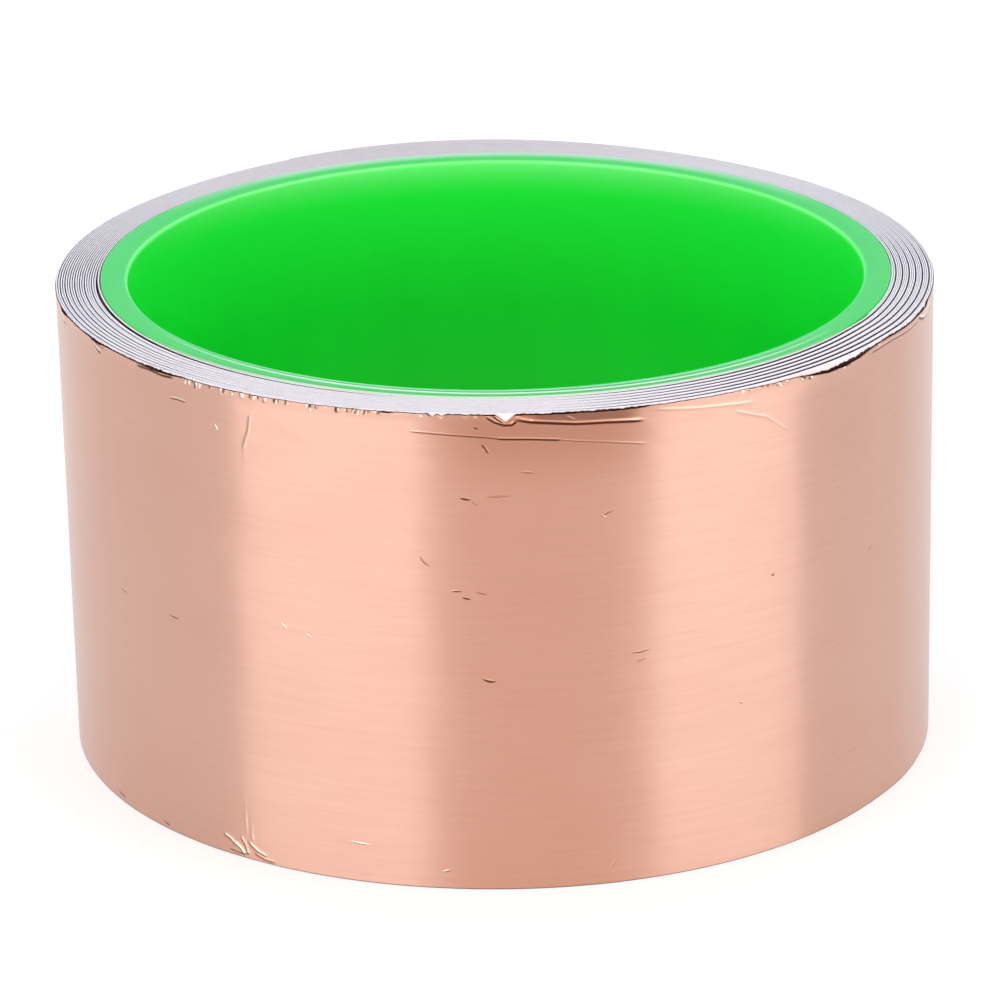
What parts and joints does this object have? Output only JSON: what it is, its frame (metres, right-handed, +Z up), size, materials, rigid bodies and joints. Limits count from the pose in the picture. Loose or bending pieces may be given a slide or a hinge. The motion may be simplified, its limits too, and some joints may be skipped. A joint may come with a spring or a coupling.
{
  "type": "copper foil tape roll",
  "caption": "Roll of wide adhesive-backed copper foil tape, spirally wound with its paper liner on a short round plastic core with an open bore.",
  "frame": {"origin": "on the roll's axis, in the plane of the core's lower end face, which the roll stands on", "axes": "+Z up along the axis of the core; +Y towards the side where the tape's free end lies; the tape is wound counterclockwise seen from +Z"},
  "size_m": [0.0904, 0.0912, 0.05],
  "materials": {
    "core_plastic": "satin",
    "anchor_tape": "satin",
    "liner_paper": "matte",
    "adhesive": "satin",
    "copper_foil": "satin"
  },
  "bodies": {
    "roll": {"core": "core_plastic", "core_anchor_tape": "anchor_tape", "release_liner_wound": "liner_paper", "adhesive_wound": "adhesive", "copper_foil_wound": "copper_foil"},
    "tape_tail": {"release_liner_tail": "liner_paper", "adhesive_tail": "adhesive", "copper_foil_tail": "copper_foil"},
    "foil_flap": {"adhesive_flap": "adhesive", "copper_foil_flap": "copper_foil"}
  },
  "joints": [
    {"name": "tail_lift", "type": "hinge", "parent": "roll", "child": "tape_tail", "pos_m": [0.00481, 0.04578, 0.025], "axis": [0, 0, -1], "range_deg": [0, 75]},
    {"name": "foil_peel", "type": "hinge", "parent": "tape_tail", "child": "foil_flap", "pos_m": [-0.00485, 0.04618, 0.025], "axis": [0, 0, -1], "range_deg": [0, 90]}
  ]
}
